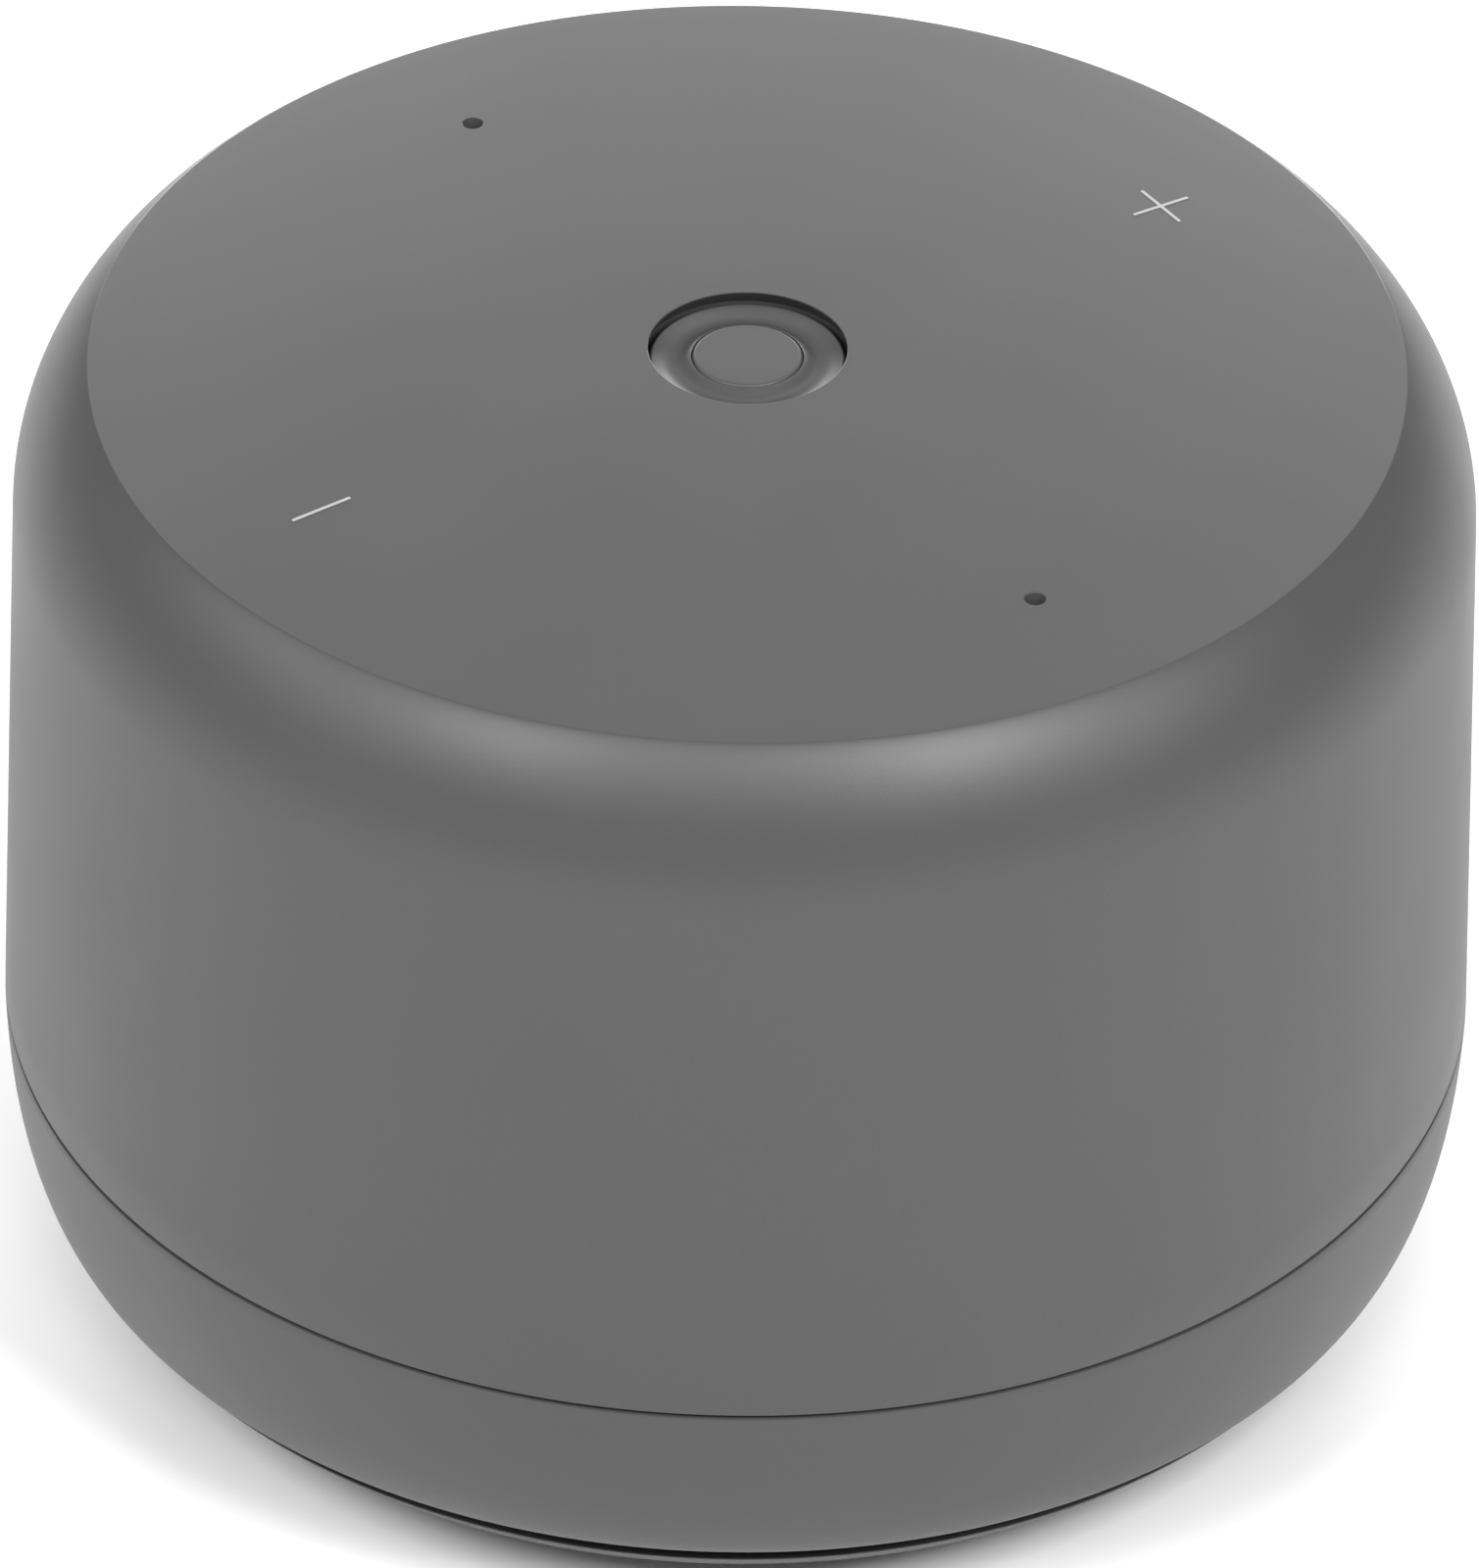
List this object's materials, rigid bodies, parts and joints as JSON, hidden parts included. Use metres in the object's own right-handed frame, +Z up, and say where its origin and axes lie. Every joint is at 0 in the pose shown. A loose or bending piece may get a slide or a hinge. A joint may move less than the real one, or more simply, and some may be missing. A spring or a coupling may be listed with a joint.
{
  "type": "smart speaker",
  "caption": "Compact round smart speaker: smooth grey two-part shell, sunk push button, microphone holes and printed volume marks on top, sound slot above a rubber foot.",
  "frame": {"origin": "centre of the round footprint, on the surface the speaker stands on", "axes": "+Z up along the axis of the round body; +X from the minus mark to the plus mark; +Y to the back, where the power socket is"},
  "size_m": [0.096, 0.096, 0.0695],
  "materials": {
    "matt_shell": "fine satin moulded surface",
    "painted_lens": "translucent plastic painted in the shell's grey",
    "ink": "light grey pad-printed ink",
    "soft_rubber": "matt black rubber",
    "mesh_cloth": "black acoustic cloth",
    "foam": "black closed-cell foam",
    "dark_plastic": "black moulded plastic",
    "ivory_plastic": "ivory moulded plastic",
    "circuit_board": "green solder mask",
    "steel": "bare pressed steel",
    "zinc_plate": "bright zinc plating",
    "ferrite": "dull dark ceramic magnet",
    "copper": "copper foil and wire",
    "paper": "pressed paper pulp",
    "woven_cloth": "resin-dipped woven cloth",
    "red_wire": "red wire insulation",
    "black_wire": "black wire insulation"
  },
  "bodies": {
    "body": {"top_shell": "matt_shell", "base_bowl": "matt_shell", "foot_plate": "matt_shell", "plus_mark": "ink", "minus_mark": "ink", "rubber_foot": "soft_rubber", "mic_gasket_rear": "soft_rubber", "mic_gasket_front": "soft_rubber", "lead_grommet": "soft_rubber", "surround": "soft_rubber", "slot_mesh": "mesh_cloth", "speaker_box_seal": "foam", "driver_seal": "foam", "speaker_box": "dark_plastic", "mute_switch_body": "dark_plastic", "tact_switch_body": "dark_plastic", "status_led": "ivory_plastic", "speaker_socket": "ivory_plastic", "ribbon_cable": "ivory_plastic", "ribbon_socket_lower": "ivory_plastic", "ribbon_socket_upper": "ivory_plastic", "control_board": "circuit_board", "main_board": "circuit_board", "terminal_strip": "circuit_board", "driver_basket": "steel", "magnet_washer": "steel", "power_socket": "steel", "yoke": "zinc_plate", "shield_can": "zinc_plate", "microphone_rear": "zinc_plate", "microphone_front": "zinc_plate", "foot_screw_1": "zinc_plate", "foot_screw_2": "zinc_plate", "foot_screw_3": "zinc_plate", "shell_screw_1": "zinc_plate", "shell_screw_2": "zinc_plate", "shell_screw_3": "zinc_plate", "driver_screw_1": "zinc_plate", "driver_screw_2": "zinc_plate", "driver_screw_3": "zinc_plate", "driver_screw_4": "zinc_plate", "main_board_screw_1": "zinc_plate", "main_board_screw_2": "zinc_plate", "control_board_screw_1": "zinc_plate", "control_board_screw_2": "zinc_plate", "control_board_screw_3": "zinc_plate", "ring_magnet": "ferrite", "touch_pad_plus": "copper", "touch_pad_minus": "copper", "spider": "woven_cloth", "speaker_lead_red": "red_wire", "speaker_lead_black": "black_wire"},
    "centre_button": {"button_cap": "matt_shell", "button_lens": "painted_lens", "tact_plunger": "ivory_plastic"},
    "mute_switch": {"mute_slider": "dark_plastic"},
    "driver_cone": {"cone": "paper", "dust_cap": "paper", "voice_coil": "copper"}
  },
  "joints": [
    {"name": "button_press", "type": "slide", "parent": "body", "child": "centre_button", "axis": [0, 0, -1], "range_m": [0, 0.0004], "stiffness_N_per_m": 400},
    {"name": "mute_slide", "type": "slide", "parent": "body", "child": "mute_switch", "axis": [0.9135, -0.4067, 0], "range_m": [0, 0.002]},
    {"name": "cone_travel", "type": "slide", "parent": "body", "child": "driver_cone", "axis": [0, 0, -1], "range_m": [-0.0015, 0.0015], "stiffness_N_per_m": 1500, "deforming": ["surround", "spider"]}
  ]
}
